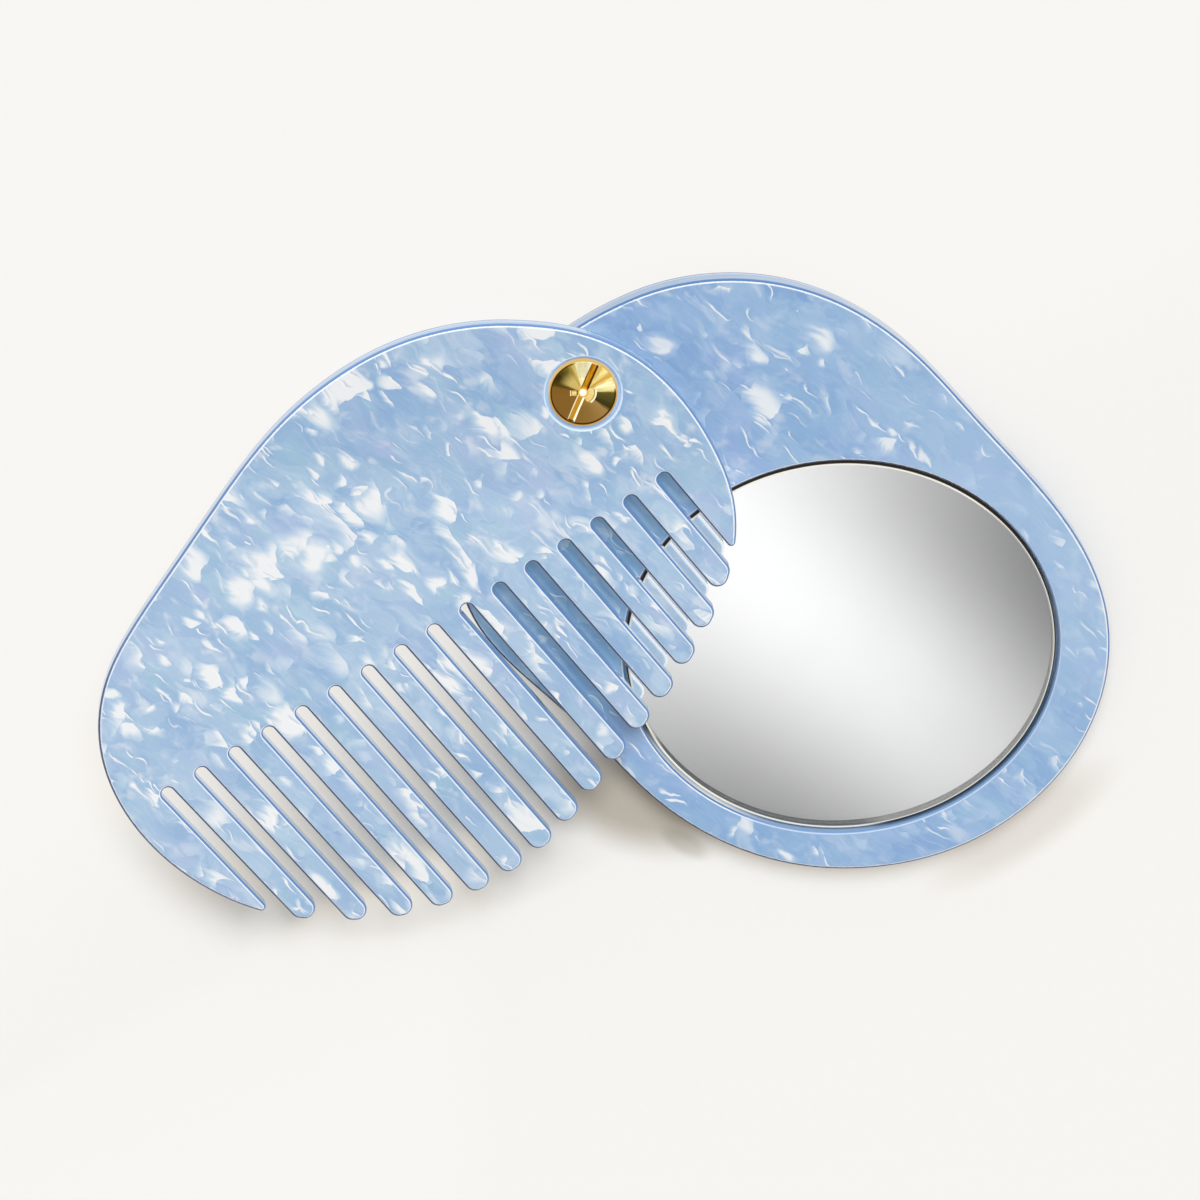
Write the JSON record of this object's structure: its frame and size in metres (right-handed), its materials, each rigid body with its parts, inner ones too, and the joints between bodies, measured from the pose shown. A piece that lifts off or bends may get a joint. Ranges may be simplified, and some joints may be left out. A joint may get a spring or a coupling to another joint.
{
  "type": "folding pocket mirror with comb",
  "caption": "Folding pocket mirror with comb: pearl-effect acetate comb plate that swings on a gold slotted pivot over an oval mirror set in a matching frame plate.",
  "frame": {"origin": "middle of the open object's bounding box, on the flat back face of the mirror frame that it rests on", "axes": "+Z normal to the plates, out of the mirror; +X from the comb's end towards the mirror's end; +Y towards the pivot's side"},
  "size_m": [0.1476, 0.0952, 0.0095],
  "materials": {
    "frame_acetate": "polished light-blue pearl acetate sheet with small white flakes",
    "comb_acetate": "polished light-blue pearl acetate sheet with large white flakes",
    "silvered_glass": "clear float glass, silvered on its back, seamed edge",
    "adhesive": "white double-sided adhesive sheet",
    "gold_metal": "polished gold-plated brass",
    "nylon": "natural white nylon",
    "spring_steel": "bright spring steel"
  },
  "bodies": {
    "mirror_half": {"mirror_frame": "frame_acetate", "mirror_glass": "silvered_glass", "mirror_adhesive": "adhesive", "pivot_screw": "gold_metal", "pivot_barrel": "gold_metal", "head_washer": "nylon", "upper_washer": "nylon", "spring_washer": "spring_steel", "lower_washer": "nylon"},
    "comb_half": {"comb": "comb_acetate"}
  },
  "joints": [
    {"name": "comb_pivot", "type": "hinge", "parent": "mirror_half", "child": "comb_half", "pos_m": [-0.00374, 0.03215, 0.008], "axis": [0, 0, 1], "continuous": true}
  ]
}
